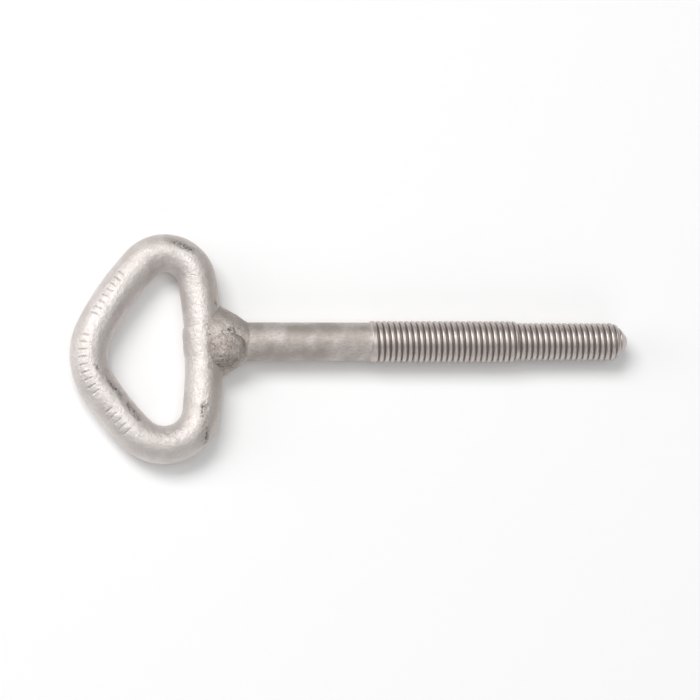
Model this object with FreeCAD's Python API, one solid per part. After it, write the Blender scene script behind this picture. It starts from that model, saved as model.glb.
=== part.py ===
import FreeCAD, Part
import math
import os

# Welded roof anchor: a closed triangular eye of bent round bar on a straight threaded rod.
#
# The rod lies along +X and the eye lies flat in the XY plane, so +Z is square to the eye.
# The origin is on the rod's axis where the root weld ends: that plane stands on the roof member,
# and everything on its +X side goes into the drilled hole. Sizes are in millimetres.

Vec = FreeCAD.Vector

# ---- driving dimensions ------------------------------------------------------------------
BAR_D = 10.0             # round bar of both the eye and the rod
EMBEDMENT = 100.0        # rod length beyond the root weld
PLAIN_LENGTH = 32.0      # smooth rod between the root weld and the thread
GRIP_LENGTH = 38.0       # thread rolled on the full bar, proud of it
GRIP_D = 10.8
END_THREAD_D = 9.8       # thread rolled on the turned-down end
PITCH = 1.5
CREST_FLAT = 0.20        # at GRIP_D
ROOT_FLAT = 0.22
FLANK_ANGLE = 30.0       # degrees, each side of the groove's centre plane
GROOVE_CLEAR = 0.08      # how far the cutting groove stands outside the crest
NOSE_LENGTH = 4.2        # rounded end of the rod
NOSE_FLAT_D = 2.6
NOSE_BACK, NOSE_R = 1.9, 3.5    # a point of the nose's arc: distance back from the tip, radius

# Eye centreline: three corner arcs joined by three long side arcs, all tangent.
# The bent eye is not quite true to the rod: its middle sits a little below the rod's axis.
CORNERS = {              # name: (x, y, radius)
    "upper": (-21.4, 14.8, 8.4),
    "outer": (-26.6, -3.6, 14.8),
    "lower": (-22.3, -17.0, 9.9),
}
SIDES = (                # (from corner, to corner, radius), counter-clockwise
    ("upper", "outer", 77.0),
    ("outer", "lower", 77.0),
    ("lower", "upper", 125.0),
)
GAP_TOP = 3.8            # the bar's two ends stop here, on the side that faces the rod
GAP_BOTTOM = -4.3
CLOSING_SWELL = 0.6      # how far the closing weld stands proud inside the eye

# Root weld: a cone from the rod out to the eye, wider along the eye's bar than across it.
ROD_HEAD_X = -8.6        # the rod's head is coped over the eye's bar back to here
WELD_LENGTH = 10.6       # from the origin to the weld's toe on the crown of the eye's bar
WELD_HALF_WIDTH = 11.7
WELD_HALF_DEPTH = 5.45
WELD_LIP = 0.3           # thickness of the weld's edge on the rod
COVER_BEAD_AT = (-5.5, -2.9, 3.1)    # the second pass, a rounded bead low on the +Z side
COVER_BEAD_HALF = (5.2, 5.2, 3.6)

BAR_R = BAR_D / 2
OUT = "parts"


# ---- eye centreline ----------------------------------------------------------------------
def side_centre(start, end, radius):
    """Centre of the arc that wraps both corner circles from outside, on the eye's inner side."""
    (ax, ay, ar), (bx, by, br) = CORNERS[start], CORNERS[end]
    reach_a, reach_b = radius - ar, radius - br
    span = math.hypot(bx - ax, by - ay)
    ux, uy = (bx - ax) / span, (by - ay) / span
    along = (reach_a**2 - reach_b**2 + span**2) / (2 * span)
    across = math.sqrt(reach_a**2 - along**2)
    # corners run counter-clockwise, so the inner side is on the left of the walk
    return Vec(ax + ux * along - uy * across, ay + uy * along + ux * across, 0)


def angle_of(v):
    return math.degrees(math.atan2(v.y, v.x))


def eye_arcs():
    """The closed centreline as (centre, radius, start angle, sweep), from side 'upper' round."""
    centres = [side_centre(*side) for side in SIDES]
    arcs = []
    for i, (start, end, radius) in enumerate(SIDES):
        corner_a, corner_b = CORNERS[start], CORNERS[end]
        before = angle_of(Vec(*corner_a[:2], 0) - centres[i - 1])
        here = angle_of(Vec(*corner_a[:2], 0) - centres[i])
        there = angle_of(Vec(*corner_b[:2], 0) - centres[i])
        arcs.append((Vec(*corner_a[:2], 0), corner_a[2], before, (here - before) % 360))
        arcs.append((centres[i], radius, here, (there - here) % 360))
    return arcs


def bent_bar(centre, radius, start, sweep, bar_r=BAR_R):
    """A stretch of round bar bent round centre: a slice of a torus."""
    ring = Part.Circle(Vec(radius, 0, 0), Vec(0, 1, 0), bar_r)
    face = Part.Face(Part.Wire(ring.toShape()))
    face.rotate(Vec(0, 0, 0), Vec(0, 0, 1), start)
    face.translate(centre)
    return face.revolve(centre, Vec(0, 0, 1), sweep)


def seat_angle(y):
    """Angle about the seat side's centre at which its centreline crosses height y."""
    centre, radius = side_centre(*SIDES[2]), SIDES[2][2]
    return math.degrees(math.asin((y - centre.y) / radius))


def seat_x(y):
    centre, radius = side_centre(*SIDES[2]), SIDES[2][2]
    return centre.x + radius * math.cos(math.radians(seat_angle(y)))


# ---- sub-parts ---------------------------------------------------------------------------
def eye_bar():
    """The bent bar, open where its two ends face each other across the closing weld."""
    arcs = eye_arcs()
    centre, radius, start, sweep = arcs.pop()
    low, high = seat_angle(GAP_BOTTOM), seat_angle(GAP_TOP)
    arcs.append((centre, radius, start, (low - start) % 360))
    arcs.append((centre, radius, high, (start + sweep - high) % 360))
    pieces = [bent_bar(*arc) for arc in arcs]
    return pieces[0].multiFuse(pieces[1:]).removeSplitter().Solids[0]


def closing_weld(bar):
    """Weld metal that joins the bar's ends, left slightly barrel-shaped inside the eye."""
    centre, radius = side_centre(*SIDES[2]), SIDES[2][2]
    low, high = seat_angle(GAP_BOTTOM), seat_angle(GAP_TOP)
    plug = bent_bar(centre, radius, low, high - low)
    middle = (GAP_TOP + GAP_BOTTOM) / 2
    axis_x = seat_x(middle) - CLOSING_SWELL / 2
    swollen_r = BAR_R + CLOSING_SWELL / 2
    rim_r = BAR_R - CLOSING_SWELL / 2
    outline = Part.Wire([
        Part.LineSegment(Vec(axis_x, GAP_BOTTOM, 0), Vec(axis_x + rim_r, GAP_BOTTOM, 0)).toShape(),
        Part.Arc(
            Vec(axis_x + rim_r, GAP_BOTTOM, 0),
            Vec(axis_x + swollen_r, middle, 0),
            Vec(axis_x + rim_r, GAP_TOP, 0),
        ).toShape(),
        Part.LineSegment(Vec(axis_x + rim_r, GAP_TOP, 0), Vec(axis_x, GAP_TOP, 0)).toShape(),
        Part.LineSegment(Vec(axis_x, GAP_TOP, 0), Vec(axis_x, GAP_BOTTOM, 0)).toShape(),
    ])
    barrel = Part.Face(outline).revolve(Vec(axis_x, 0, 0), Vec(0, 1, 0), 360)
    return plug.fuse(barrel).removeSplitter().cut(bar).Solids[0]


def rod_blank():
    """The rod before threading: bar, proud grip length, turned-down end and rounded nose."""
    grip_end = PLAIN_LENGTH + GRIP_LENGTH
    grip_r, end_r, nose_r = GRIP_D / 2, END_THREAD_D / 2, NOSE_FLAT_D / 2
    rise = grip_r - BAR_R
    nose_start = EMBEDMENT - NOSE_LENGTH
    nose_mid = Vec(EMBEDMENT - NOSE_BACK, NOSE_R, 0)
    corners = [
        Vec(ROD_HEAD_X, 0, 0),
        Vec(ROD_HEAD_X, BAR_R, 0),
        Vec(PLAIN_LENGTH, BAR_R, 0),
        Vec(PLAIN_LENGTH + rise, grip_r, 0),
        Vec(grip_end, grip_r, 0),
        Vec(grip_end + (grip_r - end_r), end_r, 0),
        Vec(nose_start, end_r, 0),
    ]
    edges = [Part.LineSegment(a, b).toShape() for a, b in zip(corners, corners[1:])]
    tip = Vec(EMBEDMENT, nose_r, 0)
    edges.append(Part.Arc(corners[-1], nose_mid, tip).toShape())
    edges.append(Part.LineSegment(tip, Vec(EMBEDMENT, 0, 0)).toShape())
    edges.append(Part.LineSegment(Vec(EMBEDMENT, 0, 0), corners[0]).toShape())
    return Part.Face(Part.Wire(edges)).revolve(Vec(0, 0, 0), Vec(1, 0, 0), 360)


def thread_groove(start, length, crest_r):
    """One V groove wound round +X, a right-hand thread, over length from start."""
    slope = math.tan(math.radians(FLANK_ANGLE))
    half_top, half_root = (PITCH - CREST_FLAT) / 2, ROOT_FLAT / 2
    root_r = crest_r - (half_top - half_root) / slope
    outer_r = crest_r + GROOVE_CLEAR
    half_outer = half_top + GROOVE_CLEAR * slope
    # wound about +Z first, straight (cone angle 0), then laid along +X
    helix = Part.makeLongHelix(PITCH, length, crest_r, 0.0)
    section = Part.makePolygon([
        Vec(outer_r, 0, -half_outer),
        Vec(root_r, 0, -half_root),
        Vec(root_r, 0, half_root),
        Vec(outer_r, 0, half_outer),
        Vec(outer_r, 0, -half_outer),
    ])
    groove = Part.Wire(helix.Edges).makePipeShell([section], True, True)
    groove.rotate(Vec(0, 0, 0), Vec(0, 1, 0), 90)
    groove.translate(Vec(start, 0, 0))
    return groove


def anchor_rod(eye_solids):
    """The rod, threaded in two stretches whose grooves are in step, its head fitted to the eye."""
    grip_start = PLAIN_LENGTH + PITCH / 2
    grip_turns = round(GRIP_LENGTH / PITCH)
    end_start = grip_start + grip_turns * PITCH
    end_length = EMBEDMENT + PITCH - end_start
    rod = rod_blank()
    rod = rod.cut(thread_groove(grip_start, grip_turns * PITCH, GRIP_D / 2))
    rod = rod.cut(thread_groove(end_start, end_length, END_THREAD_D / 2))
    for solid in eye_solids:
        rod = rod.cut(solid)
    return max(rod.Solids, key=lambda s: s.Volume)


def root_weld(others):
    """Fillet weld all round the rod's end, a cone that flares to an ellipse on the eye's bar."""
    rod_ring = Part.Wire(Part.Circle(Vec(0, 0, 0), Vec(1, 0, 0), BAR_R + WELD_LIP).toShape())
    flare = Part.Ellipse(
        Vec(-WELD_LENGTH, WELD_HALF_WIDTH, 0),
        Vec(-WELD_LENGTH, 0, WELD_HALF_DEPTH),
        Vec(-WELD_LENGTH, 0, 0),
    )
    eye_ring = Part.Wire(flare.toShape())
    weld = Part.makeLoft([rod_ring, eye_ring], True, True)
    for solid in others:
        weld = weld.cut(solid)
    return max(weld.Solids, key=lambda s: s.Volume)


def cover_bead(others):
    """The second pass: a rounded bead over the root weld's lower half."""
    squash = FreeCAD.Matrix()
    squash.scale(Vec(*COVER_BEAD_HALF))
    bead = Part.makeSphere(1.0).transformGeometry(squash)
    bead.translate(Vec(*COVER_BEAD_AT))
    for solid in others:
        bead = bead.cut(solid)
    return max(bead.Solids, key=lambda s: s.Volume)


def main():
    os.makedirs(OUT, exist_ok=True)
    bar = eye_bar()
    closing = closing_weld(bar)
    rod = anchor_rod([bar, closing])
    root = root_weld([bar, closing, rod])
    cover = cover_bead([bar, closing, rod, root])
    nodes = {
        "eye_bar": bar,
        "eye_closing_weld": closing,
        "threaded_rod": rod,
        "root_weld": root,
        "cover_weld_bead": cover,
    }
    for name, shape in nodes.items():
        print(name, shape.ShapeType, len(shape.Solids), shape.isValid(), round(shape.Volume, 1))
        shape.exportStep(os.path.join(OUT, name + ".step"))


main()
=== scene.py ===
import math

import bmesh
import bpy
import numpy as np
from mathutils import Matrix, Vector, noise


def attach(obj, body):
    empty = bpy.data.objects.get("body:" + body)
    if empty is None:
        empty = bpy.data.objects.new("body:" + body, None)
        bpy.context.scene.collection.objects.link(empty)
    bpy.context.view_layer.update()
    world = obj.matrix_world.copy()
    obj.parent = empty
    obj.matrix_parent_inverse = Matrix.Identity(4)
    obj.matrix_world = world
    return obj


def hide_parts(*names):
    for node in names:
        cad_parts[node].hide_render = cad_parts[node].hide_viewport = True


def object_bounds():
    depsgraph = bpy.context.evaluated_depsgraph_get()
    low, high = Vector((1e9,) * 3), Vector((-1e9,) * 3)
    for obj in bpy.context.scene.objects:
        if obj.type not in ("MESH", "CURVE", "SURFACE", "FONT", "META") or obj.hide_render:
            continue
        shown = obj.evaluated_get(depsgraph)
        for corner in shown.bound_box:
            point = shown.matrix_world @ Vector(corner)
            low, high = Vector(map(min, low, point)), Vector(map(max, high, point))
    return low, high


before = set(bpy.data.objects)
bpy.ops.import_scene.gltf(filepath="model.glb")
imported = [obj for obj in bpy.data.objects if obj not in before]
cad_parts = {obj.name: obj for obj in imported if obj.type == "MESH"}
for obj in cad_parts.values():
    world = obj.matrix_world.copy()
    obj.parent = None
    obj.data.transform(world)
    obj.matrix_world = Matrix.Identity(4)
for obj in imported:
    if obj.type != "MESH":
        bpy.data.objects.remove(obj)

# Roof anchor: a pickled stainless eye of bent round bar, welded to a threaded rod.
# Lengths below are in millimetres in the CAD frame, and MM turns them into Blender's metres.
# The rod lies along +X, the eye lies flat in the XY plane, and +Z is square to the eye.

MM = 0.001
CAD_LOW, CAD_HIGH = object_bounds()

# ---- sizes shared with the CAD model ---------------------------------------------------------
BAR_R = 5.0
CORNERS = {              # eye centreline's corner arcs: name: (x, y, radius)
    "upper": (-21.4, 14.8, 8.4),
    "outer": (-26.6, -3.6, 14.8),
    "lower": (-22.3, -17.0, 9.9),
}
SIDES = (                # the side arcs between them: (from, to, radius), counter-clockwise
    ("upper", "outer", 77.0),
    ("outer", "lower", 77.0),
    ("lower", "upper", 125.0),
)
GAP_TOP = 3.8            # the bar's ends, on the side that faces the rod
GAP_BOTTOM = -4.3
CLOSING_SWELL = 0.6

WELD_LENGTH = 10.6
WELD_HALF_WIDTH = 11.7
WELD_HALF_DEPTH = 5.45
WELD_LIP = 0.3

PLAIN_END = 32.0
GRIP_END = 70.0
NOSE_START = 95.8
ROD_END = 100.0
NOSE_FLAT_R = 1.3
GRIP_CREST = 5.4         # radii over the crests of the two threads
END_CREST = 4.9
PITCH = 1.5

# ---- the visual model's own sizes, not the CAD's ---------------------------------------------
ROD_HEAD_X = -8.3        # hidden under the weld
THREAD_DEPTH = 0.72
NOSE_CURVE = 1.75        # how full the nose is: 1 is a plain cone, more is rounder
BEAD_X, BEAD_Y, BEAD_R = -5.75, -2.9, 5.25
BEAD_HEIGHT = 1.5
FIRST_PASS = (-6.2, 3.0, 3.7)    # the first pass shows above the bead as a low dome: x, y, radius
FIRST_PASS_HEIGHT = 0.45


# ---- mesh helpers ----------------------------------------------------------------------------
def field(points, size, seed, octaves=3):
    """Soft noise of about -1 to 1 at each point, its largest blobs about size across."""
    shift = Vector((seed * 17.3, seed * 5.9, seed * 11.1))
    return np.array([noise.fractal(Vector(p) / size + shift, 1.0, 2.1, octaves) for p in points])


def smooth(x, low, high):
    """0 below low, 1 above high, and an S curve between."""
    t = np.clip((x - low) / (high - low), 0.0, 1.0)
    return t * t * (3 - 2 * t)


def relief(points, layers):
    """Depth of layers of soft noise at each point: (depth, blob size, seed, octaves) each."""
    total = np.zeros(len(points))
    for depth, size, seed, octaves in layers:
        total += np.clip(depth * (1 + field(points, size, seed, octaves)), 0, None)
    return total


def tube_faces(rows, columns):
    """Quads over rows of points, each row joined round into a ring."""
    row, column = np.meshgrid(np.arange(rows - 1), np.arange(columns), indexing="ij")
    beside = (column + 1) % columns
    here, after = row * columns, (row + 1) * columns
    quads = np.stack([here + column, here + beside, after + beside, after + column], -1)
    return quads.reshape(-1, 4).tolist()


def ring_cap(rows, columns, row):
    """One face across a row of tube_faces' points; row -1 is the last."""
    first = (row % rows) * columns
    return list(range(first, first + columns))


def make_piece(name, points, faces, node, material, merge=0.0):
    """A smooth-shaded mesh piece from points in millimetres, in the CAD node's place."""
    mesh = bpy.data.meshes.new(name)
    mesh.from_pydata((np.asarray(points) * MM).tolist(), [], faces)
    bm = bmesh.new()
    bm.from_mesh(mesh)
    if merge:
        bmesh.ops.remove_doubles(bm, verts=bm.verts, dist=merge * MM)
    bmesh.ops.recalc_face_normals(bm, faces=bm.faces)
    bm.to_mesh(mesh)
    bm.free()
    mesh.shade_smooth()
    mesh.materials.append(material)
    piece = bpy.data.objects.new(name, mesh)
    bpy.context.scene.collection.objects.link(piece)
    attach(piece, "root")
    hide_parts(node)
    return piece


def points_of(piece):
    """The piece's vertices in millimetres, one row each."""
    flat = np.empty(len(piece.data.vertices) * 3)
    piece.data.vertices.foreach_get("co", flat)
    return flat.reshape(-1, 3) / MM


def paint(piece, name, values):
    """Stores one number per vertex, for the materials to read."""
    layer = piece.data.attributes.new(name, "FLOAT", "POINT")
    layer.data.foreach_set("value", np.asarray(values, np.float32))


# ---- eye -------------------------------------------------------------------------------------
def side_centre(start, end, radius):
    """Centre of the arc that wraps both corner circles from outside."""
    (ax, ay, ar), (bx, by, br) = CORNERS[start], CORNERS[end]
    reach_a, reach_b = radius - ar, radius - br
    span = math.hypot(bx - ax, by - ay)
    ux, uy = (bx - ax) / span, (by - ay) / span
    along = (reach_a**2 - reach_b**2 + span**2) / (2 * span)
    across = math.sqrt(reach_a**2 - along**2)
    return ax + ux * along - uy * across, ay + uy * along + ux * across


def eye_arcs():
    """The closed centreline as (x, y, radius, start angle, sweep), from the upper corner round."""
    centres = [side_centre(*side) for side in SIDES]
    arcs = []
    for i, (start, end, radius) in enumerate(SIDES):
        ax, ay, ar = CORNERS[start]
        bx, by, _ = CORNERS[end]
        before = math.atan2(ay - centres[i - 1][1], ax - centres[i - 1][0])
        here = math.atan2(ay - centres[i][1], ax - centres[i][0])
        there = math.atan2(by - centres[i][1], bx - centres[i][0])
        arcs.append((ax, ay, ar, before, (here - before) % math.tau))
        arcs.append((*centres[i], radius, here, (there - here) % math.tau))
    return arcs


ARCS = eye_arcs()
ARC_LENGTHS = [arc[2] * arc[4] for arc in ARCS]
LOOP_LENGTH = sum(ARC_LENGTHS)


def eye_at(travel):
    """Centreline point and outward direction after that much travel round the loop."""
    travel %= LOOP_LENGTH
    for (cx, cy, radius, start, _), length in zip(ARCS, ARC_LENGTHS):
        if travel <= length:
            break
        travel -= length
    angle = start + travel / radius
    outward = Vector((math.cos(angle), math.sin(angle), 0))
    return Vector((cx, cy, 0)) + outward * radius, outward


def seat_travel(y):
    """Travel at which the centreline crosses height y on the side that faces the rod."""
    _, cy, radius, start, _ = ARCS[-1]
    start = math.remainder(start, math.tau)
    return LOOP_LENGTH - ARC_LENGTHS[-1] + radius * (math.asin((y - cy) / radius) - start)


def bar_surface(travels, radius):
    """Rings of points round the bar, and outward spokes: radius(travel, angle round the bar)."""
    points, spokes = [], []
    for travel in travels:
        centre, outward = eye_at(travel)
        for angle in AROUND:
            spoke = outward * math.cos(angle) + Vector((0, 0, math.sin(angle)))
            points.append(centre + spoke * radius(travel, angle))
            spokes.append(spoke)
    return np.array(points), np.array(spokes)


PITTED = (               # scale left in the eye's upper side: streak ends (x, y), half width, strength
    ((-21.3, 26.3), (-14.5, 23.3), 0.8, 0.9),
    ((-40.1, -7.0), (-34.7, -13.4), 0.5, 0.9),
    ((-34.7, -13.4), (-29.1, -20.7), 0.6, 0.8),
    ((-12.3, -17.4), (-12.1, -26.0), 1.0, 1.0),
    ((-11.1, 4.2), (-10.7, -7.5), 0.8, 0.45),
    ((-8.8, 9.9), (-8.5, 9.2), 0.4, 0.8),
)


def pitting(points):
    """How pitted the surface is at each point, 0 to 1, on the eye's upper side."""
    total = np.zeros(len(points))
    for (ax, ay), (bx, by), half_width, strength in PITTED:
        a, b = np.array((ax, ay)), np.array((bx, by))
        t = np.clip(((points[:, :2] - a) @ (b - a)) / ((b - a) @ (b - a)), 0, 1)
        gap = np.linalg.norm(points[:, :2] - a - t[:, None] * (b - a), axis=1)
        total = np.maximum(total, strength * (1 - smooth(gap, 0.2 * half_width, 1.7 * half_width)))
    broken = 0.25 + 0.75 * smooth(field(points, 2.6, 5, 3), -0.25, 0.2)
    return total * broken * smooth(points[:, 2], -0.5, 2.0)


EYE_RELIEF = (           # surface waves: (depth, blob size, seed, octaves)
    (0.045, 14.0, 1, 3),
    (0.012, 2.2, 2, 3),
    (0.008, 0.75, 3, 2),
)
SOUND_PITS, DEEP_PITS = 0.012, 0.13    # depth of pits in sound steel, and how much more where pitted


def eye_relief(points):
    """Inward depth of the eye's surface texture, in millimetres, never negative."""
    pits = smooth(field(points, 0.9, 4), -0.05, 0.5) * (SOUND_PITS + DEEP_PITS * pitting(points))
    return relief(points, EYE_RELIEF) + pits


AROUND = np.linspace(0, math.tau, 108, endpoint=False)    # angles round the bar
BAR_STEP = 0.28          # mesh step along the bar
STAMP_STEP = 0.12        # finer step where the bar is stamped
TUCK, TUCK_TAPER = 0.5, 0.6    # the bar's ends run on under the closing weld and get thinner
STAMPS = (               # plain stamped strokes across the bar: (first point (x, y), strokes)
    ((-32.7, 17.0), 8),
    ((-43.9, 1.6), 9),
    ((-36.5, -18.2), 5),
)
STAMP_PITCH = 1.75
STAMP_WIDTH = 0.17       # half width of a stroke
STAMP_DEPTH = 0.10
STROKE_FLOOR_DARKNESS = 0.45       # how dark the strokes' floors are, as pitting
STAMP_ANGLE = math.radians(66)      # where the strokes sit round the bar, from its outward side
STAMP_REACH = math.radians(14)      # half length of a stroke round the bar


def nearest_travel(x, y):
    """Travel at which the centreline passes closest to a point."""
    tries = np.arange(0, LOOP_LENGTH, 0.2)
    return min(tries, key=lambda travel: (eye_at(travel)[0] - Vector((x, y, 0))).length)


STAMP_TRAVELS = [nearest_travel(*at) + STAMP_PITCH * i for at, count in STAMPS for i in range(count)]


def stroke_gap(travel):
    """Distance along the bar to the nearest stroke's middle."""
    return min(abs(travel % LOOP_LENGTH - stroke) for stroke in STAMP_TRAVELS)


def stamped(travel, angle):
    """Depth of the stamped strokes: rounded grooves with blunt ends."""
    off = stroke_gap(travel)
    if off > 2 * STAMP_WIDTH:
        return 0.0
    across = 1 - smooth(off, 0.4 * STAMP_WIDTH, 1.9 * STAMP_WIDTH)
    along = 1 - smooth(abs(angle - STAMP_ANGLE), 0.8 * STAMP_REACH, 1.15 * STAMP_REACH)
    return STAMP_DEPTH * across * along


def bar_travels(first, last):
    """Mesh steps along the bar from first to last, finer at the strokes, and on past both ends."""
    travels = [first]
    while travels[-1] < last:
        near_stroke = stroke_gap(travels[-1]) < STAMP_PITCH
        travels.append(travels[-1] + (STAMP_STEP if near_stroke else BAR_STEP))
    travels = np.array(travels) * (last - first) / (travels[-1] - first)
    travels += first - travels[0]
    before, after = [first - 2 * TUCK, first - TUCK], [last + TUCK, last + 2 * TUCK]
    return np.concatenate([before, travels, after])


def eye_bar(material):
    """The bent bar; its two ends tuck in under the closing weld."""
    first = seat_travel(GAP_TOP) - LOOP_LENGTH
    last = seat_travel(GAP_BOTTOM)
    travels = bar_travels(first, last)

    def radius(travel, angle):
        past_end = max(first - travel, travel - last, 0.0)
        return BAR_R - TUCK_TAPER * past_end - stamped(travel, angle)

    points, spokes = bar_surface(travels, radius)
    points = points - spokes * eye_relief(points)[:, None]
    depth = np.array([stamped(travel, angle) for travel in travels for angle in AROUND])
    # the stamped strokes' floors are coloured darker, through the pitting mark
    return eye_piece("eye", points, "eye_bar", material, STROKE_FLOOR_DARKNESS * depth / STAMP_DEPTH)


LOW_LAP, LOW_SLOPE = 1.6, 0.03      # the closing weld laps over both bar ends and thins out there
TOP_LAP, TOP_SLOPE = 0.8, 0.12
CLOSING_PROUD = 0.02     # over the bar
CLOSING_STEP = 0.22      # the sharp step on its inner side, under the top lap
CLOSING_BELLY = CLOSING_SWELL - 0.15    # a little under the CAD's swell, as the step adds to it
CLOSING_LUMPS = 0.08


def closing_weld(material):
    """The butt weld's barrel: proud inside the eye, with a sharp step where its top end laps."""
    low, high = seat_travel(GAP_BOTTOM), seat_travel(GAP_TOP)
    barrel_travels = np.linspace(low - LOW_LAP, high - 0.1, 50)
    travels = np.concatenate([barrel_travels, np.linspace(high, high + TOP_LAP, 8)])

    def radius(travel, angle):
        t = (travel - low) / (high - low)
        inner = max(0.0, -math.cos(angle)) ** 1.5
        barrel = max(0.0, math.sin(math.pi * min(max(t, 0.0), 1.0))) ** 0.8
        step = CLOSING_STEP * inner * (0 < t < 0.995) * min(1.0, max(0.0, 3 * t - 1.5))
        lap = LOW_SLOPE * max(low - travel, 0.0) + TOP_SLOPE * max(travel - high, 0.0)
        return BAR_R + CLOSING_PROUD - lap + step + CLOSING_BELLY * barrel * inner

    points, spokes = bar_surface(travels, radius)
    inside = smooth(travels, low, low + 1.0).repeat(len(AROUND)) * np.clip(-spokes[:, 0], 0, 1)
    lumps = CLOSING_LUMPS * np.abs(field(points, 2.6, 7)) * inside
    points = points - spokes * (eye_relief(points) + lumps)[:, None]
    return eye_piece("closing_weld", points, "eye_closing_weld", material)


TINT_FROM, TINT_TO = -14.5, -8.5    # x: the eye gets duller and browner towards the root weld


def eye_piece(name, points, node, material, grime=0.0):
    """A capped tube from rings of points, with its pitting and tint stored for the material."""
    columns = len(AROUND)
    rows = len(points) // columns
    faces = tube_faces(rows, columns) + [ring_cap(rows, columns, 0), ring_cap(rows, columns, -1)]
    piece = make_piece(name, points, faces, node, material)
    spots = points_of(piece)
    paint(piece, "pitting", np.maximum(pitting(spots), grime))
    near_weld = smooth(spots[:, 0], TINT_FROM, TINT_TO) * (0.75 + 0.25 * field(spots, 7.0, 41))
    paint(piece, "tint", np.clip(near_weld, 0, 1))
    return piece


# ---- welds -----------------------------------------------------------------------------------
WELD_GRID = (96, 280)    # rows along the root weld, points round it
WELD_OVERRUN = 0.3       # how far it runs on past the seat plane and past its toe
LIP_RAMP = 1.8           # about how far back its edge takes to reach its full height
LIP_SUNK = 0.04          # how far that edge starts under the rod's surface
LIP_WANDER = 0.5         # how far the edge wanders along the rod
WELD_RELIEF = (          # surface lumps: (depth, blob size, seed, octaves)
    (0.20, 5.5, 11, 3),
    (0.07, 1.8, 13, 3),
)
WELD_GRAIN = 0.016       # depth of its finest lumps
WELD_FOLDS = 0.20        # depth of its creases
WELD_HOLES = 0.06        # depth of its pinholes

BEAD_GRID = (72, 180)    # rings out from the bead's middle, points round it
BEAD_RAGGED = 0.07       # how far its outline wanders, as a share of its radius
BEAD_EDGE_DROP = 0.45    # how far its rim turns down
BEAD_SUNK = 0.25         # how far the whole bead is let into the root weld
BEAD_RELIEF = (
    (0.06, 2.0, 21, 3),
    (0.03, 0.8, 23, 3),
)
BEAD_FOLDS, BEAD_HOLES = 0.09, 0.14


def weld_section(x):
    """Half width and half depth of the root weld's oval section at x, feathered onto the rod."""
    t = max(-x, 0.0) / WELD_LENGTH
    rod = BAR_R - LIP_SUNK + WELD_LIP * min(1.0, max(0.0, (WELD_OVERRUN - x) / LIP_RAMP))
    return rod + (WELD_HALF_WIDTH - rod) * t, rod + (WELD_HALF_DEPTH - rod) * t


def creases(points, size, seed):
    """Thin broken lines, 1 along each line, like the folds in cooled weld metal."""
    lines = 1 - smooth(np.abs(field(points, size, seed, 3)), 0.01, 0.09)
    return lines * smooth(field(points, 0.9 * size, seed + 50, 2), -0.1, 0.15)


def pinholes(points, size, seed):
    """Small scattered holes, 1 at the bottom of each."""
    return smooth(field(points, size, seed, 2), 0.42, 0.75)


def dome(points, x, y, radius):
    """A soft round swelling on the +Z side, 1 in its middle."""
    gap = np.hypot(points[:, 0] - x, points[:, 1] - y)
    return (1 - smooth(gap, 0.35 * radius, 1.15 * radius)) * (points[:, 2] > 0)


def root_weld(material):
    """Oval cone from the rod's lip out to a toe that sinks into the eye's bar."""
    rows, columns = WELD_GRID
    points, normals = [], []
    for x in np.linspace(WELD_OVERRUN, -WELD_LENGTH - WELD_OVERRUN, rows):
        half_width, half_depth = weld_section(x)
        for a in np.linspace(0, math.tau, columns, endpoint=False):
            points.append((x, half_width * math.cos(a), half_depth * math.sin(a)))
            normal = Vector((0.3, math.cos(a) / half_width, math.sin(a) / half_depth))
            normals.append(normal.normalized())
    points, normals = np.array(points), np.array(normals)
    lip = 1 - smooth(-points[:, 0], -WELD_OVERRUN, LIP_RAMP)
    folds = WELD_FOLDS * creases(points, 6.0, 12)
    grain = WELD_GRAIN * (1 + field(points, 0.6, 14, 2)) + WELD_HOLES * pinholes(points, 0.9, 16)
    depth = (relief(points, WELD_RELIEF) + folds + np.clip(grain, 0, None)) * (1 - 0.9 * lip)
    depth -= FIRST_PASS_HEIGHT * dome(points, *FIRST_PASS)
    points = points - normals * depth[:, None]
    points[:, 0] += (LIP_WANDER * field(points, 3.0, 15) - WELD_OVERRUN) * lip
    faces = tube_faces(rows, columns) + [ring_cap(rows, columns, 0), ring_cap(rows, columns, -1)]
    piece = make_piece("weld_cone", points, faces, "root_weld", material)
    spots = points_of(piece)
    paint(piece, "pitting", np.maximum(0.8 * creases(spots, 6.0, 12), 0.3 * pinholes(spots, 0.9, 16)))
    return piece


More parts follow.
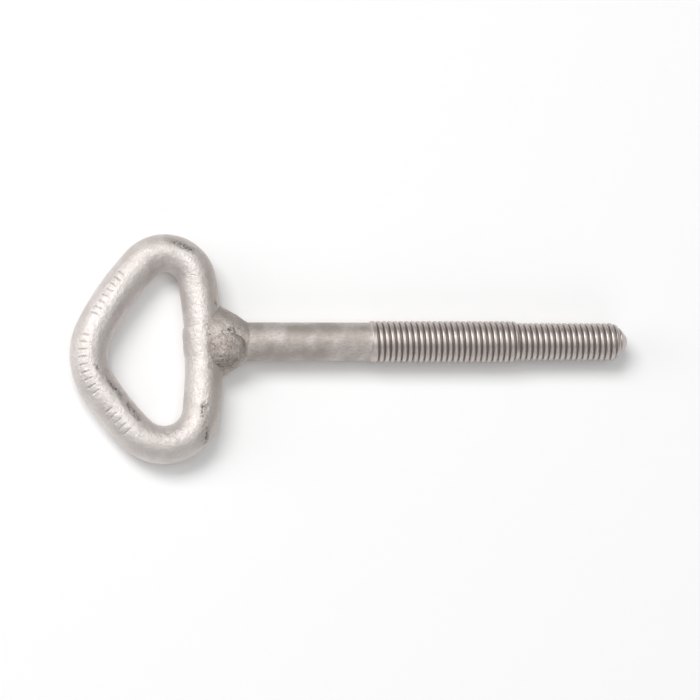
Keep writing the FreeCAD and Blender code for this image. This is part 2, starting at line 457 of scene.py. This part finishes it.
def cover_bead(material):
    """The second pass: a pitted dome that wraps the root weld's lower shoulder."""
    rings, columns = BEAD_GRID
    points = []
    for ring in range(rings):
        t = ring / (rings - 1)
        for column in range(columns):
            a = math.tau * column / columns
            ragged = noise.noise(Vector((math.cos(a), math.sin(a), 4.0)) * 1.8)
            edge = BEAD_R * (1 + BEAD_RAGGED * ragged)
            x = BEAD_X + edge * t * math.cos(a)
            y = BEAD_Y + edge * t * math.sin(a)
            half_width, half_depth = weld_section(x)
            side = max(-0.995, min(0.995, y / half_width))
            z = half_depth * math.sqrt(1 - side * side)
            normal = Vector((0.1, y / half_width**2, z / half_depth**2)).normalized()
            swell = BEAD_HEIGHT * (1 - t**2.2) - BEAD_EDGE_DROP * smooth(t, 0.86, 1.0)
            points.append(Vector((x, y, z)) + normal * float(swell - BEAD_SUNK))
    points = np.array(points)
    folds = BEAD_FOLDS * creases(points, 3.2, 22) + BEAD_HOLES * pinholes(points, 0.8, 24)
    points[:, 2] -= relief(points, BEAD_RELIEF) + folds
    faces = tube_faces(rings, columns) + [ring_cap(rings, columns, -1)]
    piece = make_piece("cover_bead", points, faces, "cover_weld_bead", material, 0.001)
    spots = points_of(piece)
    rim = smooth(np.hypot(spots[:, 0] - BEAD_X, spots[:, 1] - BEAD_Y), 0.86 * BEAD_R, 1.0 * BEAD_R)
    marks = np.maximum(0.6 * creases(spots, 3.2, 22), 0.45 * pinholes(spots, 0.8, 24))
    paint(piece, "pitting", np.clip(0.25 + marks + 0.3 * rim, 0, 1))
    return piece


# ---- rod -------------------------------------------------------------------------------------
PROFILE = (              # one pitch of thread: (fraction of the pitch, fraction of the depth)
    (0.00, 1.00), (0.035, 0.97), (0.07, 0.86), (0.105, 0.68), (0.14, 0.48), (0.175, 0.30),
    (0.22, 0.16), (0.28, 0.07), (0.36, 0.02), (0.46, 0.00), (0.50, 0.04), (0.54, 0.00),
    (0.64, 0.02), (0.72, 0.07), (0.78, 0.16), (0.825, 0.30), (0.86, 0.48), (0.895, 0.68),
    (0.93, 0.86), (0.965, 0.97),
)
TURN_STEPS = 60          # mesh steps in one turn of the thread
ROD_WAVES = 0.010        # depth of the waves all along the rod
DRAWN_GRAIN = 0.006      # depth of the grain on the smooth bar only
RUN_OUT = 0.8            # how the groove gets shallower towards the tip: more is sooner


def nose_share(x):
    """0 up to where the nose starts, 1 at the tip."""
    return np.clip((x - NOSE_START) / (ROD_END - NOSE_START), 0, 1)


def crest_radius(x):
    """Radius over the thread's crests at x: plain bar, grip, turned-down end, rounded nose."""
    rise = smooth(x, PLAIN_END - 0.25, PLAIN_END + 0.1)
    stepped = smooth(x, GRIP_END - 0.3, GRIP_END + 0.9)
    full = BAR_R + (GRIP_CREST - BAR_R) * rise + (END_CREST - GRIP_CREST) * stepped
    return full - (END_CREST - NOSE_FLAT_R) * nose_share(x)**NOSE_CURVE


def rod_outline(run, depth):
    """Axial place and radius after that much run along the rod's outline, thread depth included."""
    cut = smooth(run, PLAIN_END + 0.25, PLAIN_END + 1.3) * (1 - nose_share(run))**RUN_OUT
    radius = crest_radius(run) - THREAD_DEPTH * cut * depth
    past_tip = np.clip(run - ROD_END, 0, NOSE_FLAT_R)
    before_head = np.clip(ROD_HEAD_X - run, 0, BAR_R)
    radius = np.where(past_tip > 0, NOSE_FLAT_R - past_tip, radius)
    radius = np.where(before_head > 0, BAR_R - before_head, radius)
    return np.clip(run, ROD_HEAD_X, ROD_END), radius


def strip_faces(steps, n):
    """Quads of a helical strip n points wide, each turn joined to the next."""
    faces = []
    for s in range(steps):
        here, after, next_turn = s * n, (s + 1) * n, (s + TURN_STEPS) * n
        for j in range(n - 1):
            faces.append((here + j, after + j, after + j + 1, here + j + 1))
        if s + 1 + TURN_STEPS <= steps:
            faces.append((after - 1, after + n - 1, next_turn + n, next_turn))
    return faces


def threaded_rod(material):
    """One helical strip wound along the whole rod, so every crest is a clean line of edges."""
    start = ROD_HEAD_X - BAR_R - PITCH
    turns = math.ceil((ROD_END + NOSE_FLAT_R - start) / PITCH) + 1
    strip = np.array(PROFILE)
    steps = turns * TURN_STEPS
    turn = np.arange(steps + 1) / TURN_STEPS
    run = start + PITCH * (turn[:, None] + strip[None, :, 0])
    depth = np.broadcast_to(strip[None, :, 1], run.shape)
    along, radius = rod_outline(run, depth)
    angle = np.broadcast_to(turn[:, None] * math.tau, run.shape)
    points = np.stack([along, radius * np.cos(angle), radius * np.sin(angle)], -1).reshape(-1, 3)
    spokes = points * (0, 1, 1) / np.maximum(np.hypot(points[:, 1], points[:, 2]), 0.01)[:, None]
    drawn = 1 - smooth(points[:, 0], PLAIN_END - 1.0, PLAIN_END)
    waves = ROD_WAVES * (1 + field(points, 4.0, 31))
    grain = DRAWN_GRAIN * (1 + field(points, 0.8, 32, 2)) * drawn
    points = points - spokes * np.clip(waves + grain, 0, None)[:, None]
    faces = strip_faces(steps, len(strip))
    piece = make_piece("rod", points, faces, "threaded_rod", material, 0.004)
    spots = points_of(piece)
    rolled = smooth(spots[:, 0], PLAIN_END - 0.5, PLAIN_END + 0.1)
    # sunk: how far down the thread's groove each point lies; the material paints shade into the groove
    # floors with it
    sunk = (crest_radius(spots[:, 0]) - np.hypot(spots[:, 1], spots[:, 2])) / THREAD_DEPTH
    before_tip = spots[:, 0] < ROD_END - 0.05
    paint(piece, "rolled", rolled)
    paint(piece, "sunk", smooth(sunk, 0.25, 0.95) * rolled * before_tip)
    return piece


# ---- materials -------------------------------------------------------------------------------
METALLIC = 0.92
CLOUD_SIZE = 6.0         # large soft patches between a steel's light and dark tones
CRUMB_SIZE = 0.5         # pitting breaks up into crumbs this big
ROLLED_POLISH = 0.18     # how much less rough the rolled thread is than the drawn bar
ROLLED_FLAT = 0.8        # how much of the drawn bar's grain rolling takes away
# painted shade: the colour the thread's groove floors are darkened to, as if shaded
GROOVE_SHADE = (0.38, 0.335, 0.31)    # colour of the thread's groove floors
WELD_TINT = (0.58, 0.52, 0.47)        # colour that the eye leans to beside the root weld
TINT_STRENGTH = 0.7


class Nodes:
    """Short calls for building a material's nodes."""

    def __init__(self, name):
        self.material = bpy.data.materials.new(name)
        self.material.use_nodes = True
        self.tree = self.material.node_tree
        self.shader = self.tree.nodes["Principled BSDF"]

    def add(self, kind, **settings):
        node = self.tree.nodes.new(kind)
        for key, value in settings.items():
            setattr(node, key, value)
        return node

    def link(self, source, target):
        self.tree.links.new(source, target)

    def place(self, stretch=(1, 1, 1)):
        """Position in the CAD frame, stretched."""
        spot = self.add("ShaderNodeTexCoord")
        mapping = self.add("ShaderNodeMapping")
        mapping.inputs["Scale"].default_value = stretch
        self.link(spot.outputs["Object"], mapping.inputs["Vector"])
        return mapping.outputs["Vector"]

    def noise(self, size_mm, detail=3.0, stretch=(1, 1, 1)):
        """Noise of 0 to 1, its largest blobs about size_mm across."""
        node = self.add("ShaderNodeTexNoise")
        node.inputs["Scale"].default_value = 1 / (size_mm * MM)
        node.inputs["Detail"].default_value = detail
        node.inputs["Roughness"].default_value = 0.55
        self.link(self.place(stretch), node.inputs["Vector"])
        return node.outputs["Fac"]

    def ramp(self, value, low, high, out_low=0.0, out_high=1.0):
        """An S curve from out_low, where value is low, to out_high, where it is high."""
        node = self.add("ShaderNodeMapRange", interpolation_type="SMOOTHSTEP")
        self.link(value, node.inputs["Value"])
        node.inputs["From Min"].default_value = low
        node.inputs["From Max"].default_value = high
        node.inputs["To Min"].default_value = out_low
        node.inputs["To Max"].default_value = out_high
        return node.outputs["Result"]

    def mix(self, factor, a, b):
        node = self.add("ShaderNodeMix", data_type="RGBA")
        self.link(factor, node.inputs["Factor"])
        for socket, value in ((node.inputs["A"], a), (node.inputs["B"], b)):
            self.colour(socket, value)
        return node.outputs["Result"]

    def colour(self, socket, value):
        if isinstance(value, tuple):
            socket.default_value = (*value, 1.0)
        else:
            self.link(value, socket)

    def math(self, operation, a, b):
        node = self.add("ShaderNodeMath", operation=operation)
        for socket, value in zip(node.inputs, (a, b)):
            if isinstance(value, float):
                socket.default_value = value
            else:
                self.link(value, socket)
        return node.outputs["Value"]

    def stored(self, name):
        """The number that paint() stored in the mesh, or 0 where the mesh has none."""
        return self.add("ShaderNodeAttribute", attribute_name=name).outputs["Fac"]

    def bump(self, height, distance_mm, below=None):
        node = self.add("ShaderNodeBump")
        node.inputs["Distance"].default_value = distance_mm * MM
        self.link(height, node.inputs["Height"])
        if below is not None:
            self.link(below, node.inputs["Normal"])
        return node.outputs["Normal"]


def steel(name, light, dark, stain, roughness, grain_mm, grain_depth, stretch, marks):
    """Stainless steel, mottled between light and dark.

    marks names what the mesh stores: "pitting" stains the steel, and "rolled" polishes it and
    gives it the stain's colour all over, and "sunk" paints shade into the thread's groove floors.
    """
    n = Nodes(name)
    cloud = n.noise(CLOUD_SIZE, 4.0)
    speckle = n.noise(grain_mm, stretch=stretch)
    colour = n.mix(n.ramp(cloud, 0.35, 0.65), light, dark)
    colour = n.mix(n.ramp(speckle, 0.50, 0.72, 0.0, 0.8), colour, dark)
    rough = n.ramp(speckle, 0.3, 0.7, roughness - 0.05, roughness + 0.07)
    grain = n.noise(grain_mm * 0.6, 4.0, stretch)
    if marks == "rolled":
        drawn = n.math("SUBTRACT", 1.0, n.math("MULTIPLY", n.stored(marks), ROLLED_FLAT))
        grain = n.math("MULTIPLY", grain, drawn)
    fine = n.bump(grain, grain_depth)
    if marks == "pitting":
        crumbs = n.ramp(n.noise(CRUMB_SIZE), 0.42, 0.60, 0.25, 1.0)
        colour = n.mix(n.math("MULTIPLY", n.stored("tint"), TINT_STRENGTH), colour, WELD_TINT)
        colour = n.mix(n.math("MULTIPLY", n.stored(marks), crumbs), colour, stain)
        normal = n.bump(n.noise(grain_mm * 3), grain_depth * 1.5, fine)
    else:
        rolled = n.stored(marks)
        # painted shade: the groove floors, by how sunk they are, are mixed toward the dark groove
        # colour
        colour = n.mix(n.stored("sunk"), n.mix(rolled, colour, stain), GROOVE_SHADE)
        rough = n.math("SUBTRACT", rough, n.math("MULTIPLY", rolled, ROLLED_POLISH))
        normal = fine
    n.link(colour, n.shader.inputs["Base Color"])
    n.link(rough, n.shader.inputs["Roughness"])
    n.link(normal, n.shader.inputs["Normal"])
    n.shader.inputs["Metallic"].default_value = METALLIC
    return n.material


# ---- studio ----------------------------------------------------------------------------------
# Directions point from the object, and distances, lamp sizes and the floor are in metres.
VIEW_FROM = (-0.144, -0.15, 0.97)
AIM = Vector((26.6, -2.2, 0.0)) * MM
CAMERA_DISTANCE = 0.961
LENS = 190.0
FLOOR_HALF = 3.0
LAMPS = (                # name, direction, distance, width, height, watts
    ("key", (-0.38, 0.42, 0.82), 2.0, 1.30, 0.80, 27.0),
    ("overhead", (0.05, -0.05, 0.99), 2.0, 1.40, 1.20, 10.5),
    ("left_fill", (-0.92, 0.12, 0.40), 1.8, 1.00, 1.00, 6.0),
    ("front_fill", (0.15, -0.85, 0.50), 2.0, 1.60, 1.00, 5.5),
    ("right_fill", (0.93, 0.15, 0.30), 2.0, 1.20, 0.60, 1.2),
)


def camera():
    """A long lens nearly square to the eye, with the rod level in the picture."""
    data = bpy.data.cameras.new("camera")
    data.lens = LENS
    data.sensor_width = 36.0
    data.clip_start, data.clip_end = 0.05, 20.0
    cam = bpy.data.objects.new("camera", data)
    bpy.context.scene.collection.objects.link(cam)
    cam.matrix_world = aimed(VIEW_FROM, CAMERA_DISTANCE)
    bpy.context.scene.camera = cam


def aimed(back, distance):
    """Placement that looks back at the object from that direction, its own X level with the rod."""
    back = Vector(back).normalized()
    right = (Vector((1, 0, 0)) - back * back.x).normalized()
    turn = Matrix((right, back.cross(right), back)).transposed().to_4x4()
    return Matrix.Translation(AIM + back * distance) @ turn


def softbox(name, direction, distance, width, height, watts):
    """A rectangular lamp that faces the object from that direction."""
    data = bpy.data.lights.new(name, "AREA")
    data.shape = "RECTANGLE"
    data.size, data.size_y = width, height
    data.energy = watts
    lamp = bpy.data.objects.new(name, data)
    lamp.matrix_world = aimed(direction, distance)
    bpy.context.scene.collection.objects.link(lamp)


def paper_floor():
    """A level sheet of pale paper that the object rests on."""
    half, z = FLOOR_HALF, CAD_LOW.z
    corners = [(-half, -half, z), (half, -half, z), (half, half, z), (-half, half, z)]
    mesh = bpy.data.meshes.new("floor")
    mesh.from_pydata(corners, [], [(0, 1, 2, 3)])
    floor = bpy.data.objects.new("floor", mesh)
    bpy.context.scene.collection.objects.link(floor)
    paper = Nodes("paper")
    paper.shader.inputs["Base Color"].default_value = (0.93, 0.93, 0.93, 1)
    paper.shader.inputs["Roughness"].default_value = 0.9
    paper.shader.inputs["Specular IOR Level"].default_value = 0.1
    paper.shader.inputs["Emission Color"].default_value = (1, 1, 1, 1)
    paper.shader.inputs["Emission Strength"].default_value = 0.03
    mesh.materials.append(paper.material)


def backdrop():
    """A near-white background that lights the object only dimly."""
    world = bpy.data.worlds.new("studio")
    world.use_nodes = True
    bpy.context.scene.world = world
    tree = world.node_tree
    seen = tree.nodes.new("ShaderNodeLightPath")
    blend = tree.nodes.new("ShaderNodeMix")
    blend.data_type = "RGBA"
    blend.inputs["A"].default_value = (0.15, 0.15, 0.15, 1)
    blend.inputs["B"].default_value = (0.95, 0.95, 0.95, 1)
    tree.links.new(seen.outputs["Is Camera Ray"], blend.inputs["Factor"])
    tree.links.new(blend.outputs["Result"], tree.nodes["Background"].inputs["Color"])
    bpy.context.scene.view_settings.view_transform = "Standard"


def main():
    eye_steel = steel("eye_steel", light=(0.77, 0.725, 0.705), dark=(0.68, 0.63, 0.60),
                      stain=(0.16, 0.13, 0.12), roughness=0.57, grain_mm=0.40, grain_depth=0.13,
                      stretch=(1, 0.5, 1), marks="pitting")
    rod_steel = steel("rod_steel", light=(0.65, 0.595, 0.57), dark=(0.47, 0.42, 0.385),
                      stain=(0.60, 0.545, 0.515), roughness=0.60, grain_mm=0.36, grain_depth=0.08,
                      stretch=(0.35, 1, 1), marks="rolled")
    weld_steel = steel("weld_steel", light=(0.58, 0.53, 0.495), dark=(0.43, 0.38, 0.345),
                       stain=(0.15, 0.12, 0.11), roughness=0.62, grain_mm=0.5, grain_depth=0.10,
                       stretch=(1, 1, 1), marks="pitting")
    camera()
    paper_floor()
    for lamp in LAMPS:
        softbox(*lamp)
    backdrop()
    eye_bar(eye_steel)
    closing_weld(eye_steel)
    threaded_rod(rod_steel)
    root_weld(weld_steel)
    cover_bead(weld_steel)


main()
